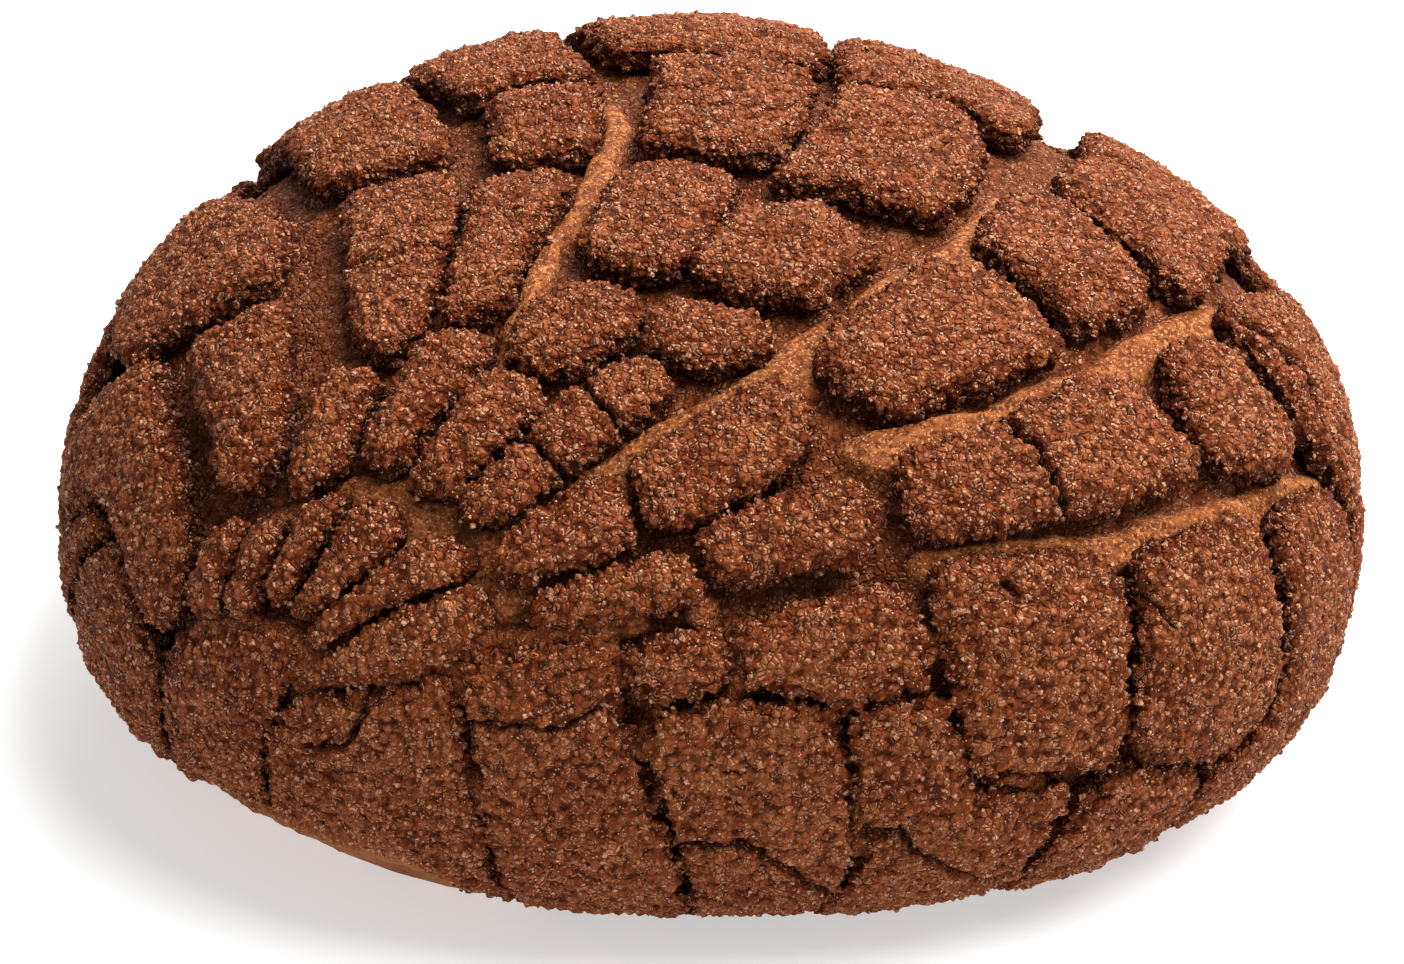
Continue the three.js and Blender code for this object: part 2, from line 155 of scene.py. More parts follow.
# Cracks right through a tile's face, by tile: (width, depth, points on the map)
CRACKS = {
    "c2": [(0.4, 1.1, [(-29.5, -9.3), (-25, -9.9), (-20, -9.5)])],
    "h3": [(0.5, 1.7, [(25, -31.3), (27, -33), (30, -36), (31.5, -39)])],
    "f1": [
        (0.45, 1.5, [(-15.5, -35.8), (-14, -37.5), (-12.3, -40)]),
        (0.4, 1.1, [(-10.3, -31.3), (-8.5, -34), (-6.7, -37)]),
    ],
    "j1": [(0.35, 1, [(-23.5, -61.3), (-18, -62.5), (-14, -63.8), (-9.5, -62.3)])],
    "j2": [(0.55, 1.7, [(-1, -76.7), (5, -75.8), (10, -77.5), (14, -79.5), (20, -82.5)])],
    "j3": [(0.5, 1.7, [(20, -73.2), (25, -71.8), (29, -73), (35, -74), (45.5, -74)])],
    "k8": [
        (0.45, 1.5, [(-42, -56.8), (-38, -58), (-34, -56.5), (-32, -55.3)]),
        (0.35, 1.1, [(-34.5, -53.8), (-32, -55.2)]),
    ],
    "h5": [(0.5, 1.5, [(44.5, -11.8), (52, -13), (55.5, -19.5)])],
    "i4": [(0.35, 0.8, [(40.5, -42.8), (43.5, -43.9)])],
    "i3": [
        (0.7, 1.0, [(28.2, -46.8), (28.9, -47.6)]),
        (0.5, 1.4, [(31, -65), (34, -62.5), (37.5, -61.6), (41.5, -59.8)]),
    ],
    "d4": [(0.35, 1.1, [(-15, 33), (-11, 34.5), (-6, 34)])],
    "e5": [(0.35, 1.1, [(-3, 36), (3, 34.6), (10, 35.5)])],
    "f5": [(0.4, 1.2, [(12, 29), (19, 27.5), (27, 27)])],
}

# Shallow wrinkles across the ribs, by tile
COURSES = {
    "b2": [[(-30, 6), (-20, 6.3)], [(-30, 3.3), (-20, 3.6)], [(-30, 0), (-21, 0.2)]],
    "c3": [[(-30, 24), (-14, 25)], [(-30, 15), (-14, 15.6)], [(-28, 19.6), (-16, 20)]],
    "d3": [[(-18, 12), (-13, 11), (-8, 12)], [(-18, 8), (-8, 8.4)]],
    "e4": [[(-5, 18.2), (12, 18)], [(-4, 14), (2, 13), (10, 13.6)], [(-4, 9.7), (11, 9.4)]],
    "f4": [[(10, 8.4), (16, 6), (25, 6.2)], [(10, 4.6), (16, 2), (21, 4), (22.5, 0.5)]],
    "d4": [[(-16, 26), (-6, 26.4)], [(-18, 41), (-6, 42)]],
    "e5": [[(-4, 28), (12, 28.2)], [(-4, 43), (12, 43.6)]],
    "f5": [[(12, 21), (28, 20)], [(12, 36), (30, 35)]],
    "g5": [[(32, 13), (41, 6)], [(30, 22), (46, 14)]],
    "a2": [[(-52, -8), (-42, -6)], [(-52, -2), (-40, 0)]],
    "a3": [[(-48, 16), (-34, 18)], [(-46, 24), (-32, 26)]],
}

# Bare crust without chocolate on it: (half width, points on the map)
GOLDEN = [
    (2.6, [(-22, -44), (-14, -45), (-8, -41), (0, -36), (8, -30), (12.5, -23)]),
    (2.7, [(12.5, -23), (17.5, -16), (22.5, -8), (28, -1.5)]),
    (2.3, [(15, -37.5), (19, -35), (25, -31), (29, -27), (33, -23), (37, -18), (43, -11)]),
    (2.4, [(22, -47), (27, -44.5), (34, -42), (41, -37), (47, -32), (53, -26), (59, -21)]),
    (1.5, [(-17, -26), (-13.4, -12), (-10, -3), (-7.5, 6), (-7, 14)]),
    (5.5, [(-27, -40), (-22, -44), (-19, -48)]),
    (3.0, [(-38, -36), (-30, -36)]),
]

# Where fingers and tiles run together in crumbs: (half width, rise, points on the map)
CRUMBLED_GAPS = [
    (2.2, 2.6, [(-49, -41.5), (-44, -43.5), (-40.5, -47), (-38.5, -50)]),
    (2.0, 2.4, [(-40, -51), (-33, -52.5), (-27, -55), (-21.5, -55)]),
    (1.6, 2.2, [(-19.5, -55.5), (-13, -55), (-6, -55)]),
    (1.4, 2.0, [(-44, -38.5), (-41.5, -36)]),
    (1.4, 2.0, [(-39.5, -41.5), (-37, -39)]),
    (1.4, 2.0, [(-37.5, -44.5), (-33, -42)]),
    (1.4, 2.0, [(-37, -48), (-31, -47)]),
    (1.3, 2.2, [(4, -57), (5, -63), (5, -66)]),
    (1.3, 2.2, [(20, -60), (22, -66), (20, -73)]),
    (1.3, 2.2, [(47, -66), (49, -60)]),
]

# Corners of a lattice cell, and a sugar cube's corners and faces
CORNERS = [np.array([i & 1, i >> 1 & 1, i >> 2]) for i in range(8)]
CUBE = 2.0 * np.array(CORNERS) - 1
CUBE_FACES = np.array(
    [(0, 2, 3, 1), (4, 5, 7, 6), (0, 1, 5, 4), (2, 6, 7, 3), (0, 4, 6, 2), (1, 3, 7, 5)]
)


# Repeatable noise, in numpy


def hashed(cells, seed):
    """Numbers from 0 to 1, one for each whole-number cell, by an integer hash."""
    x, y, z = (cells[..., i].astype(np.int64).astype(np.uint32) for i in range(3))
    h = x * np.uint32(0x8DA6B343)
    h += y * np.uint32(0xD8163841)
    h += z * np.uint32(0xCB1AB31F)
    h += np.uint32(seed * 7919 + 17)
    h ^= h >> np.uint32(15)
    h *= np.uint32(0x2C1B3C6D)
    h ^= h >> np.uint32(12)
    h *= np.uint32(0x297A2D39)
    h ^= h >> np.uint32(15)
    return h.astype(np.float64) / 2**32


def turned(points, seed):
    """The points turned about a slanting axis, so that no two noises line up."""
    angle = 1.1 + 2.399 * seed
    c, s = math.cos(angle), math.sin(angle)
    a = np.array([[c, -s, 0], [s, c, 0], [0, 0, 1.0]])
    b = np.array([[1.0, 0, 0], [0, 0.8, -0.6], [0, 0.6, 0.8]])
    return points @ (a @ b).T


def soft_noise(points, size, seed):
    """Smooth noise from -1 to 1 that changes over about size."""
    p = turned(points, seed) / size
    cell = np.floor(p)
    t = p - cell
    t = t * t * (3 - 2 * t)
    total = np.zeros(len(points))
    for corner in CORNERS:
        weight = np.prod(np.where(corner, t, 1 - t), axis=1)
        total += weight * hashed(cell + corner, seed)
    return 2 * total - 1


def grains(points, pitch, radius, share, seed):
    """Height from 0 to 1 of round grains, one to a cell of a lattice, and each grain's number."""
    p = turned(points, seed) / pitch
    base = np.floor(p - 0.5)
    best = np.zeros(len(points))
    number = np.zeros(len(points))
    for corner in CORNERS:
        cell = base + corner
        own = [hashed(cell, seed + k) for k in (1, 2, 3, 4)]
        centre = cell + 0.5 + 0.7 * (np.stack(own[:3], axis=1) - 0.5)
        reach = radius * (0.6 + 0.4 * own[3])
        away = ((p - centre) ** 2).sum(axis=1) / reach**2
        height = np.sqrt(np.clip(1 - away, 0, 1)) * reach / radius
        height *= hashed(cell, seed + 5) < share
        number = np.where(height > best, own[3], number)
        best = np.maximum(best, height)
    return best, number


def step(low, high, x):
    """0 before low, 1 past high, smooth between; low may be the larger."""
    t = np.clip((x - low) / (high - low), 0, 1)
    return t * t * (3 - 2 * t)


# The dome and its map


def make_profile():
    """The dome's mean outline from crown to table: arc length, radius and height."""
    turn = np.linspace(0, math.pi / 2, 3000)
    drop = np.linspace(0, EQUATOR_HEIGHT, 1500)[1:]
    tuck = (drop / UNDERSIDE_DEPTH) ** UNDERSIDE_ROUNDNESS
    radius = np.concatenate(
        [
            MEAN_RADIUS * np.sin(turn) ** (2 / CROWN_ROUNDNESS),
            MEAN_RADIUS * (1 - tuck) ** (1 / UNDERSIDE_ROUNDNESS),
        ]
    )
    height = np.concatenate(
        [
            EQUATOR_HEIGHT + CROWN_HEIGHT * np.clip(np.cos(turn), 0, 1) ** (2 / CROWN_ROUNDNESS),
            EQUATOR_HEIGHT - drop,
        ]
    )
    steps = np.hypot(np.diff(radius), np.diff(height))
    arc = np.concatenate([[0], np.cumsum(steps)])
    return arc, radius, height


PROFILE_ARC, PROFILE_RADIUS, PROFILE_HEIGHT = make_profile()
PROFILE_ANGLE = np.arctan2(PROFILE_HEIGHT - EQUATOR_HEIGHT, PROFILE_RADIUS)


def lobes_at(bearing):
    """How far the dome's plan stands out from a circle, by bearing."""
    oval = OVAL_AMOUNT * np.cos(2 * (bearing - math.radians(OVAL_DIRECTION)))
    three = THREE_LOBE_AMOUNT * np.cos(3 * (bearing - math.radians(THREE_LOBE_DIRECTION)))
    return 1 + oval + three


def dome(right, back):
    """Points on the dome that the topping's tops lie on, in the dome's own place."""
    arc = np.hypot(right, back)
    bearing = np.arctan2(back, right)
    reach = np.interp(arc, PROFILE_ARC, PROFILE_RADIUS) * lobes_at(bearing)
    height = np.interp(arc, PROFILE_ARC, PROFILE_HEIGHT)
    x = reach * np.cos(bearing)
    lean = LEAN_TO_RIGHT * x * height / (EQUATOR_HEIGHT + CROWN_HEIGHT)
    return np.stack([x, reach * np.sin(bearing), height + lean], axis=1)


def dome_slopes(right, back, gap=0.2):
    """How the dome runs for each mm of the map, and its outward normal."""
    across = (dome(right + gap, back) - dome(right - gap, back)) / (2 * gap)
    along = (dome(right, back + gap) - dome(right, back - gap)) / (2 * gap)
    normal = np.cross(across, along)
    normal /= np.linalg.norm(normal, axis=1, keepdims=True)
    return across, along, normal


def unrolled(points):
    """Each point's place on the map, height above the crust, and the dome's normal there."""
    place = points - DOME_AXIS
    bearing = np.arctan2(place[:, 1], place[:, 0])
    radius = np.hypot(place[:, 0], place[:, 1]) / lobes_at(bearing)
    angle = np.arctan2(place[:, 2] - EQUATOR_HEIGHT, radius)
    arc = np.interp(-angle, -PROFILE_ANGLE, PROFILE_ARC)
    right, back = arc * np.cos(bearing), arc * np.sin(bearing)
    for _ in range(5):
        across, along, normal = dome_slopes(right, back)
        away = place - dome(right, back)
        out = (away * normal).sum(axis=1)
        away = away - out[:, None] * normal
        aa, bb = (across**2).sum(axis=1), (along**2).sum(axis=1)
        ab = (across * along).sum(axis=1)
        da, db = (away * across).sum(axis=1), (away * along).sum(axis=1)
        det = np.maximum(aa * bb - ab * ab, 1e-9)
        right = right + np.clip((bb * da - ab * db) / det, -3, 3)
        back = back + np.clip((aa * db - ab * da) / det, -3, 3)
    return np.stack([right, back], axis=1), out + TOPPING_THICKNESS, normal


def distance_to_line(places, line):
    """Distance on the map from each place to a line of straight runs."""
    best = np.full(len(places), 1e9)
    for start, end in zip(np.array(line[:-1], float), np.array(line[1:], float)):
        run = end - start
        t = np.clip((places - start) @ run / (run @ run), 0, 1)
        gap = places - (start + t[:, None] * run)
        best = np.minimum(best, np.hypot(gap[:, 0], gap[:, 1]))
    return best


# Meshes


def remeshed(source, name, voxel, smoothing):
    """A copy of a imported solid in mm, in small even faces."""
    mesh = source.data.copy()
    mesh.materials.clear()
    for vertex_layer in list(mesh.uv_layers):
        mesh.uv_layers.remove(vertex_layer)
    corners = np.empty(len(mesh.vertices) * 3, np.float32)
    mesh.vertices.foreach_get("co", corners)
    mesh.vertices.foreach_set("co", corners / MM)
    rough = bpy.data.objects.new(name + "_rough", mesh)
    bpy.context.scene.collection.objects.link(rough)
    remesh = rough.modifiers.new("remesh", "REMESH")
    remesh.mode = "VOXEL"
    remesh.voxel_size = voxel
    smooth = rough.modifiers.new("smooth", "SMOOTH")
    smooth.factor = 0.5
    smooth.iterations = smoothing
    made = bpy.data.meshes.new_from_object(
        rough.evaluated_get(bpy.context.evaluated_depsgraph_get())
    )
    bpy.data.objects.remove(rough)
    made.name = name
    return made


def points_of(mesh):
    flat = np.empty(len(mesh.vertices) * 3, np.float32)
    mesh.vertices.foreach_get("co", flat)
    return flat.reshape(-1, 3).astype(float)


def normals_of(mesh):
    flat = np.empty(len(mesh.vertices) * 3, np.float32)
    mesh.vertex_normals.foreach_get("vector", flat)
    return flat.reshape(-1, 3).astype(float)


def put_points(mesh, points):
    """Writes points in mm to the mesh in metres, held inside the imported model's box."""
    inside = np.clip(points * MM, np.array(cad_low) + 1e-6, np.array(cad_high) - 1e-6)
    mesh.vertices.foreach_set("co", inside.astype(np.float32).ravel())
    mesh.update()


def put_number(mesh, name, values):
    layer = mesh.attributes.new(name, "FLOAT", "POINT")
    layer.data.foreach_set("value", values.astype(np.float32))


def put_vector(mesh, name, values):
    layer = mesh.attributes.new(name, "FLOAT_VECTOR", "POINT")
    layer.data.foreach_set("vector", values.astype(np.float32).ravel())


def shade_smooth(mesh, count):
    """Smooth shading on the first faces, flat facets on the rest."""
    mesh.polygons.foreach_set("use_smooth", np.arange(len(mesh.polygons)) < count)


def fitted(places, left, right):
    """Places stretched to fill an upright strip of the unit square."""
    low, high = places.min(axis=0), places.max(axis=0)
    return np.array([left, 0.01]) + (places - low) / (high - low) * np.array([right - left, 0.98])


def unfolded(places, normals, height):
    """Places on the map with the walls folded out flat round the top."""
    across, along, _ = dome_slopes(places[:, 0], places[:, 1])
    right = (normals * across).sum(axis=1) / np.linalg.norm(across, axis=1)
    back = (normals * along).sum(axis=1) / np.linalg.norm(along, axis=1)
    drop = (TOPPING_THICKNESS - height).clip(0)
    return places + np.stack([right, back], axis=1) * drop[:, None]


def lay_out(mesh, above, below, is_below):
    """Bake layout: what faces out fills the left of the square, what faces down the right."""
    corner_vertex = np.empty(len(mesh.loops), np.int32)
    mesh.loops.foreach_get("vertex_index", corner_vertex)
    sizes = np.empty(len(mesh.polygons), np.int32)
    mesh.polygons.foreach_get("loop_total", sizes)
    starts = np.concatenate([[0], np.cumsum(sizes)[:-1]])
    share = np.add.reduceat(is_below[corner_vertex].astype(float), starts) / sizes
    down = np.repeat(share > 0.5, sizes)
    out_used, down_used = corner_vertex[~down], corner_vertex[down]
    places = np.zeros((len(corner_vertex), 2))
    places[~down] = fitted(above[out_used], 0.01, 0.61)
    if len(down_used):
        places[down] = fitted(below[down_used], 0.63, 0.99)
    layer = mesh.uv_layers.new(name="OFBake")
    layer.data.foreach_set("uv", places.astype(np.float32).ravel())


def piece_from(mesh, name, node, material, smooth_faces):
    """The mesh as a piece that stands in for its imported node."""
    mesh.materials.append(material)
    shade_smooth(mesh, smooth_faces)
    piece = bpy.data.objects.new(name, mesh)
    bpy.context.scene.collection.objects.link(piece)
    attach(piece, "root")
    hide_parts(node)
    return piece


# Topping


def crack_depth(places, points, tile):
    """How deep the tile's cracks cut at each point, and how much its courses dip."""
    wander = np.stack([soft_noise(points, 2.2, 31), soft_noise(points, 2.2, 47)], axis=1)
    fine = np.stack([soft_noise(points, 0.8, 33), soft_noise(points, 0.8, 49)], axis=1)
    bent = places + 0.55 * wander + 0.38 * fine
    depth = np.zeros(len(points))
    for width, deep, line in CRACKS.get(tile, []):
        away = distance_to_line(bent, line)
        depth = np.maximum(depth, deep * (1 - step(width * 0.25, width * 1.1, away)))
    dip = np.zeros(len(points))
    for line in COURSES.get(tile, []):
        away = distance_to_line(bent, line)
        dip = np.maximum(dip, COURSE_DEPTH * (1 - step(0.1, 0.8, away)))
    return depth, dip


def crumbled(points, places):
    """Heights in mm of the topping's lumps and grains, how high each place stands, and its grain."""
    broken = step(-42, -62, places[:, 1])
    lumps = 0.16 * soft_noise(points, 4.5, 3) + 0.15 * soft_noise(points, 2.0, 5)
    cobbles = grains(points, 1.30, 0.76, 1.0, 11)[0]
    small = grains(points, 0.70, 0.66, 0.9, 23)[0]
    fine = soft_noise(points, 0.5, 8)
    height = lumps + (0.20 + 0.20 * broken) * cobbles + 0.30 * small + 0.06 * fine
    relief = np.clip((0.20 + 0.20 * broken) * cobbles + 0.80 * small + 0.10 * fine, 0, 1)
    return height - 0.33 - 0.10 * broken, relief, small


def tree_of(names):
    """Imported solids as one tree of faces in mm, to measure distances to."""
    corners, faces = [], []
    for name in names:
        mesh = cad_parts[name].data
        start = len(corners)
        corners.extend(v.co / MM for v in mesh.vertices)
        faces.extend(tuple(start + i for i in p.vertices) for p in mesh.polygons)
    return BVHTree.FromPolygons(corners, faces)


def neighbours_of(node, reach=4):
    """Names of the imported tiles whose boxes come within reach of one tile's."""
    low, high = (np.array(c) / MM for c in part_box(node))
    near = []
    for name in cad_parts:
        if name in ("bun", node):
            continue
        other_low, other_high = (np.array(c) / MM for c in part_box(name))
        if np.any(other_low > high + reach) or np.any(other_high < low - reach):
            continue
        near.append(name)
    return near


def room_beside(node, points, wanted):
    """Distance to the next tile at the wanted points, and a wide gap elsewhere."""
    tree = tree_of(neighbours_of(node))
    gap = np.full(len(points), WIDE_GAP)
    for i in np.nonzero(wanted)[0]:
        found = tree.find_nearest(Vector(points[i]), WIDE_GAP)
        if found[0] is not None:
            gap[i] = found[3]
    return gap


def sugar_on(points, normals, bare, share):
    """Sugar crystals half sunk in the crumb: their corners, and the vertex each one sits on."""
    index = np.arange(len(points))
    cells = np.stack([index, index * 0 + 5, index * 0], axis=1)
    anchors = np.nonzero(bare & (hashed(cells, 91) < share))[0]
    random = np.stack([hashed(cells[anchors], 92 + k) for k in range(8)], axis=1)
    first = random[:, :3] - 0.5
    first /= np.linalg.norm(first, axis=1, keepdims=True)
    second = np.cross(first, random[:, 3:6] - 0.5)
    second /= np.linalg.norm(second, axis=1, keepdims=True)
    axes = np.stack([first, second, np.cross(first, second)], axis=1)
    half = SUGAR_HALF_SIZE * (0.7 + 0.6 * random[:, 6])
    centre = points[anchors] + normals[anchors] * (half * (0.5 * random[:, 7] - 0.4))[:, None]
    corners = centre[:, None, :] + half[:, None, None] * np.einsum("ck,nkd->ncd", CUBE, axes)
    return corners.reshape(-1, 3), anchors


def add_cubes(mesh, count):
    """Room for cubes at the end of the mesh, eight corners and six faces each."""
    first_vertex, first_corner, first_face = len(mesh.vertices), len(mesh.loops), len(mesh.polygons)
    mesh.vertices.add(8 * count)
    mesh.loops.add(24 * count)
    mesh.polygons.add(6 * count)
    corner_vertex = np.empty(len(mesh.loops), np.int32)
    mesh.loops.foreach_get("vertex_index", corner_vertex)
    cubes = first_vertex + 8 * np.arange(count)[:, None] + CUBE_FACES.ravel()
    corner_vertex[first_corner:] = cubes.ravel()
    mesh.loops.foreach_set("vertex_index", corner_vertex)
    starts = np.empty(len(mesh.polygons), np.int32)
    mesh.polygons.foreach_get("loop_start", starts)
    starts[first_face:] = first_corner + 4 * np.arange(6 * count)
    mesh.polygons.foreach_set("loop_start", starts)
    mesh.update(calc_edges=True)


def sculpted_tile(node, tile, voxel, material):
    """One topping tile with its crumbs, rough edges and cracks."""
    name = "crumb_" + tile
    calm = FINGER_CALM if tile in FINGERS else 1.0
    voxel = FINGER_SHARE * voxel if tile in FINGERS else voxel
    mesh = remeshed(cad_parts[node], name, voxel, TILE_SMOOTHING)
    points, normals = points_of(mesh), normals_of(mesh)
    places, height, outward = unrolled(points)
    facing = (normals * outward).sum(axis=1)
    side = 1 - np.clip(facing, 0, 1)
    under = facing < -0.3
    wall = step(0.12, 0.6, side) * ~under
    room = room_beside(node, points, wall > 0.05)
    room = ((room - CRACK_GAP) / 2).clip(0)
    rise = np.clip(height / TOPPING_THICKNESS, 0, 1)
    spread = np.minimum(room, FOOT_SPREAD + (TOP_SPREAD - FOOT_SPREAD) * rise)
    sideways = normals - facing[:, None] * outward
    points = points + sideways * (spread * wall)[:, None]
    crumb, relief, grain = crumbled(points, places)
    rough = (0.22 * soft_noise(points, 2.6, 13) + 0.22 * soft_noise(points, 1.1, 15)) * side
    points = points + normals * (calm * (crumb * (1 + 1.3 * side) + rough) * ~under)[:, None]
    depth, dip = crack_depth(places, points, tile)
    cut = (depth + dip) * step(0.6, 2.4, height)
    points = points - outward * np.minimum(cut, height - 0.5).clip(0)[:, None]
    cracked = np.clip(depth / 1.2, 0, 1) * step(0.6, 2.4, height)
    bare = ~under & (height > 1.5) & (cracked < 0.1)
    crystals, anchors = sugar_on(points, normals, bare, SUGAR_PER_SQUARE_MM * voxel**2)
    body_faces = len(mesh.polygons)
    add_cubes(mesh, len(anchors))
    put_points(mesh, np.concatenate([points, crystals]))
    every = np.concatenate([np.arange(len(points)), np.repeat(anchors, 8)])
    nudge = np.zeros((len(every), 2))
    nudge[len(points):] = np.tile(CUBE[:, :2] * 0.12, (len(anchors), 1))
    flat = unfolded(places, normals, height)
    lay_out(mesh, flat[every] + nudge, places[every], under[every])
    put_number(mesh, "height", rise[every])
    put_number(mesh, "side", side[every])
    put_number(mesh, "grain", grain[every])
    put_number(mesh, "relief", relief[every])
    # How deep each crack cuts, which sets the painted shade inside it
    put_number(mesh, "crack_shade", cracked[every])
    put_number(mesh, "sugar", (np.arange(len(every)) >= len(points)).astype(float))
    return piece_from(mesh, name, node, material, body_faces)


# Bun


def wall_distance(points):
    """Distance in mm from each point to the nearest packed tile."""
    tree = tree_of([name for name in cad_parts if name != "bun"])
    return np.array([tree.find_nearest(Vector(p))[3] for p in points])


def golden_share(places, points):
    """1 on bare crust, 0 where chocolate stains it."""
    wander = np.stack([soft_noise(points, 3.5, 61), soft_noise(points, 3.5, 67)], axis=1)
    bent = places + 0.7 * wander
    share = np.zeros(len(points))
    for half, line in GOLDEN:
        away = distance_to_line(bent, line)
        share = np.maximum(share, 1 - step(half * 0.55, half * 1.25, away))
    arc = np.hypot(places[:, 0], places[:, 1])
    return np.maximum(share, step(80.5, 86, arc))


def crumbled_cover(places, points):
    """How high in mm the topping's crumbs lie in the gaps they fill."""
    wander = np.stack([soft_noise(points, 2.4, 81), soft_noise(points, 2.4, 87)], axis=1)
    bent = places + 0.6 * wander
    cover = np.zeros(len(points))
    for half, rise, line in CRUMBLED_GAPS:
        away = distance_to_line(bent, line)
        cover = np.maximum(cover, rise * (1 - step(half * 0.6, half * 1.4, away)))
    loose = step(-42, -58, places[:, 1]) * step(0.0, 0.35, soft_noise(points, 2.6, 93))
    return np.maximum(cover, LOOSE_CRUMB_RISE * loose * step(9, 14, points[:, 2]))


def sculpted_bun(material):
    """The bread: smooth dome, swollen a little along its bare lines, flat below."""
    mesh = remeshed(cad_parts["bun"], "bread", BUN_VOXEL, BUN_SMOOTHING)
    points = points_of(mesh)
    places, _, outward = unrolled(points)
    gap = wall_distance(points)
    golden = golden_share(places, points)
    under = 1 - step(0.3, 1.6, points[:, 2])
    around = places - HUB
    bearing = np.arctan2(around[:, 1], around[:, 0])
    reach = np.hypot(around[:, 0], around[:, 1])
    fibre = np.stack([bearing * 40, reach * 0.22, np.zeros(len(points))], axis=1)
    ridges = soft_noise(fibre, 0.9, 71) * step(0.4, 1.2, gap)
    skirt = step(84, 90, np.hypot(places[:, 0], places[:, 1]))
    cover = crumbled_cover(places, points)
    crumb, relief, grain = crumbled(points, places)
    swell = (1.6 * golden - 0.35) * step(0.35, 0.9, gap) * (1 - skirt)
    swell = np.maximum(swell, cover * step(0.15, 0.5, gap))
    rough = 0.16 * soft_noise(points, 3.0, 73) + 0.10 * soft_noise(points, 1.3, 75)
    coarse_part = 0.9 * crumb * (1 - 0.35 * golden) * step(0.35, 0.9, gap) * (1 - skirt)
    lift = (swell + 0.14 * ridges + rough + coarse_part - 0.12) * (1 - under)
    points = points + outward * lift[:, None]
    points[:, 2] = np.where(under > 0.99, np.maximum(points[:, 2], 0.02), points[:, 2])
    put_points(mesh, points)
    lay_out(mesh, places, points[:, :2], under > 0.5)
    put_number(mesh, "golden", golden)
    put_number(mesh, "under", np.maximum(under, 0.9 * skirt))
    put_number(mesh, "relief", relief)
    put_number(mesh, "grain", grain)
    # This made-up height sets the painted foot shade on the crust's crumbs, less where crumbs pile up
    put_number(mesh, "height", 0.62 + 0.12 * cover)
    put_vector(mesh, "fibre", fibre)
    return piece_from(mesh, "bread", "bun", material, len(mesh.polygons))


# Materials


class Nodes:
    """Short words for building a node material."""

    def __init__(self, name):
        self.material = bpy.data.materials.new(name)
        self.material.use_nodes = True
        self.tree = self.material.node_tree
        self.shader = self.tree.nodes["Principled BSDF"]

    def put(self, socket, value):
        if isinstance(value, bpy.types.NodeSocket):
            self.tree.links.new(value, socket)
        elif isinstance(value, tuple) and len(value) == 3 and socket.type == "RGBA":
            socket.default_value = (*value, 1)
        else:
            socket.default_value = value

    def add(self, kind, settings=None, **inputs):
        node = self.tree.nodes.new(kind)
        for key, value in (settings or {}).items():
            setattr(node, key, value)
        for key, value in inputs.items():
            self.put(node.inputs[key.replace("_", " ")], value)
        return node

    def place(self):
        """The surface point in mm."""
        coordinates = self.add("ShaderNodeTexCoord").outputs["Object"]
        scaled = self.add("ShaderNodeVectorMath", {"operation": "SCALE"})
        self.put(scaled.inputs[0], coordinates)
        self.put(scaled.inputs["Scale"], 1000.0)
        return scaled.outputs[0]

    def number(self, name):
        return self.add("ShaderNodeAttribute", {"attribute_name": name}).outputs["Fac"]

    def noise(self, vector, size, detail=2.0):
        made = self.add(
            "ShaderNodeTexNoise",
            Vector=vector,
            Scale=1 / size,
            Detail=detail,
            Roughness=0.6,
        )
        return made.outputs["Fac"]

    def cells(self, vector, size):
        """How far each place is from the middle of its cell, in cells."""
        made = self.add("ShaderNodeTexVoronoi", Vector=vector, Scale=1 / size)
        return made.outputs["Distance"]

    def edges(self, vector, size):
        """How far each place is from the side of its cell, in cells."""
        made = self.add(
            "ShaderNodeTexVoronoi", {"feature": "DISTANCE_TO_EDGE"}, Vector=vector, Scale=1 / size
        )
        return made.outputs["Distance"]

    def ramp(self, value, low, high, bottom=0.0, top=1.0):
        made = self.add("ShaderNodeMapRange", {"interpolation_type": "SMOOTHSTEP"})
        keys = ("Value", "From Min", "From Max", "To Min", "To Max")
        for key, x in zip(keys, (value, low, high, bottom, top)):
            self.put(made.inputs[key], x)
        return made.outputs["Result"]

    def math(self, operation, a, b=0.0):
        made = self.add("ShaderNodeMath", {"operation": operation})
        self.put(made.inputs[0], a)
        self.put(made.inputs[1], b)
        return made.outputs[0]

    def mix(self, share, a, b):
        made = self.add("ShaderNodeMix", {"data_type": "RGBA"})
        self.put(made.inputs["Factor"], share)
        self.put(made.inputs[6], a)
        self.put(made.inputs[7], b)
        return made.outputs[2]

    def bump(self, height, distance, strength):
        made = self.add("ShaderNodeBump", Height=height, Distance=distance, Strength=strength)
        return made.outputs[0]


def srgb(red, green, blue):
    """A linear colour from 0-255 screen values."""
    return tuple(
        c / 12.92 if c <= 0.04045 else ((c + 0.055) / 1.055) ** 2.4
        for c in (red / 255, green / 255, blue / 255)
    )


def paint(name):
    return srgb(*COLOURS[name])


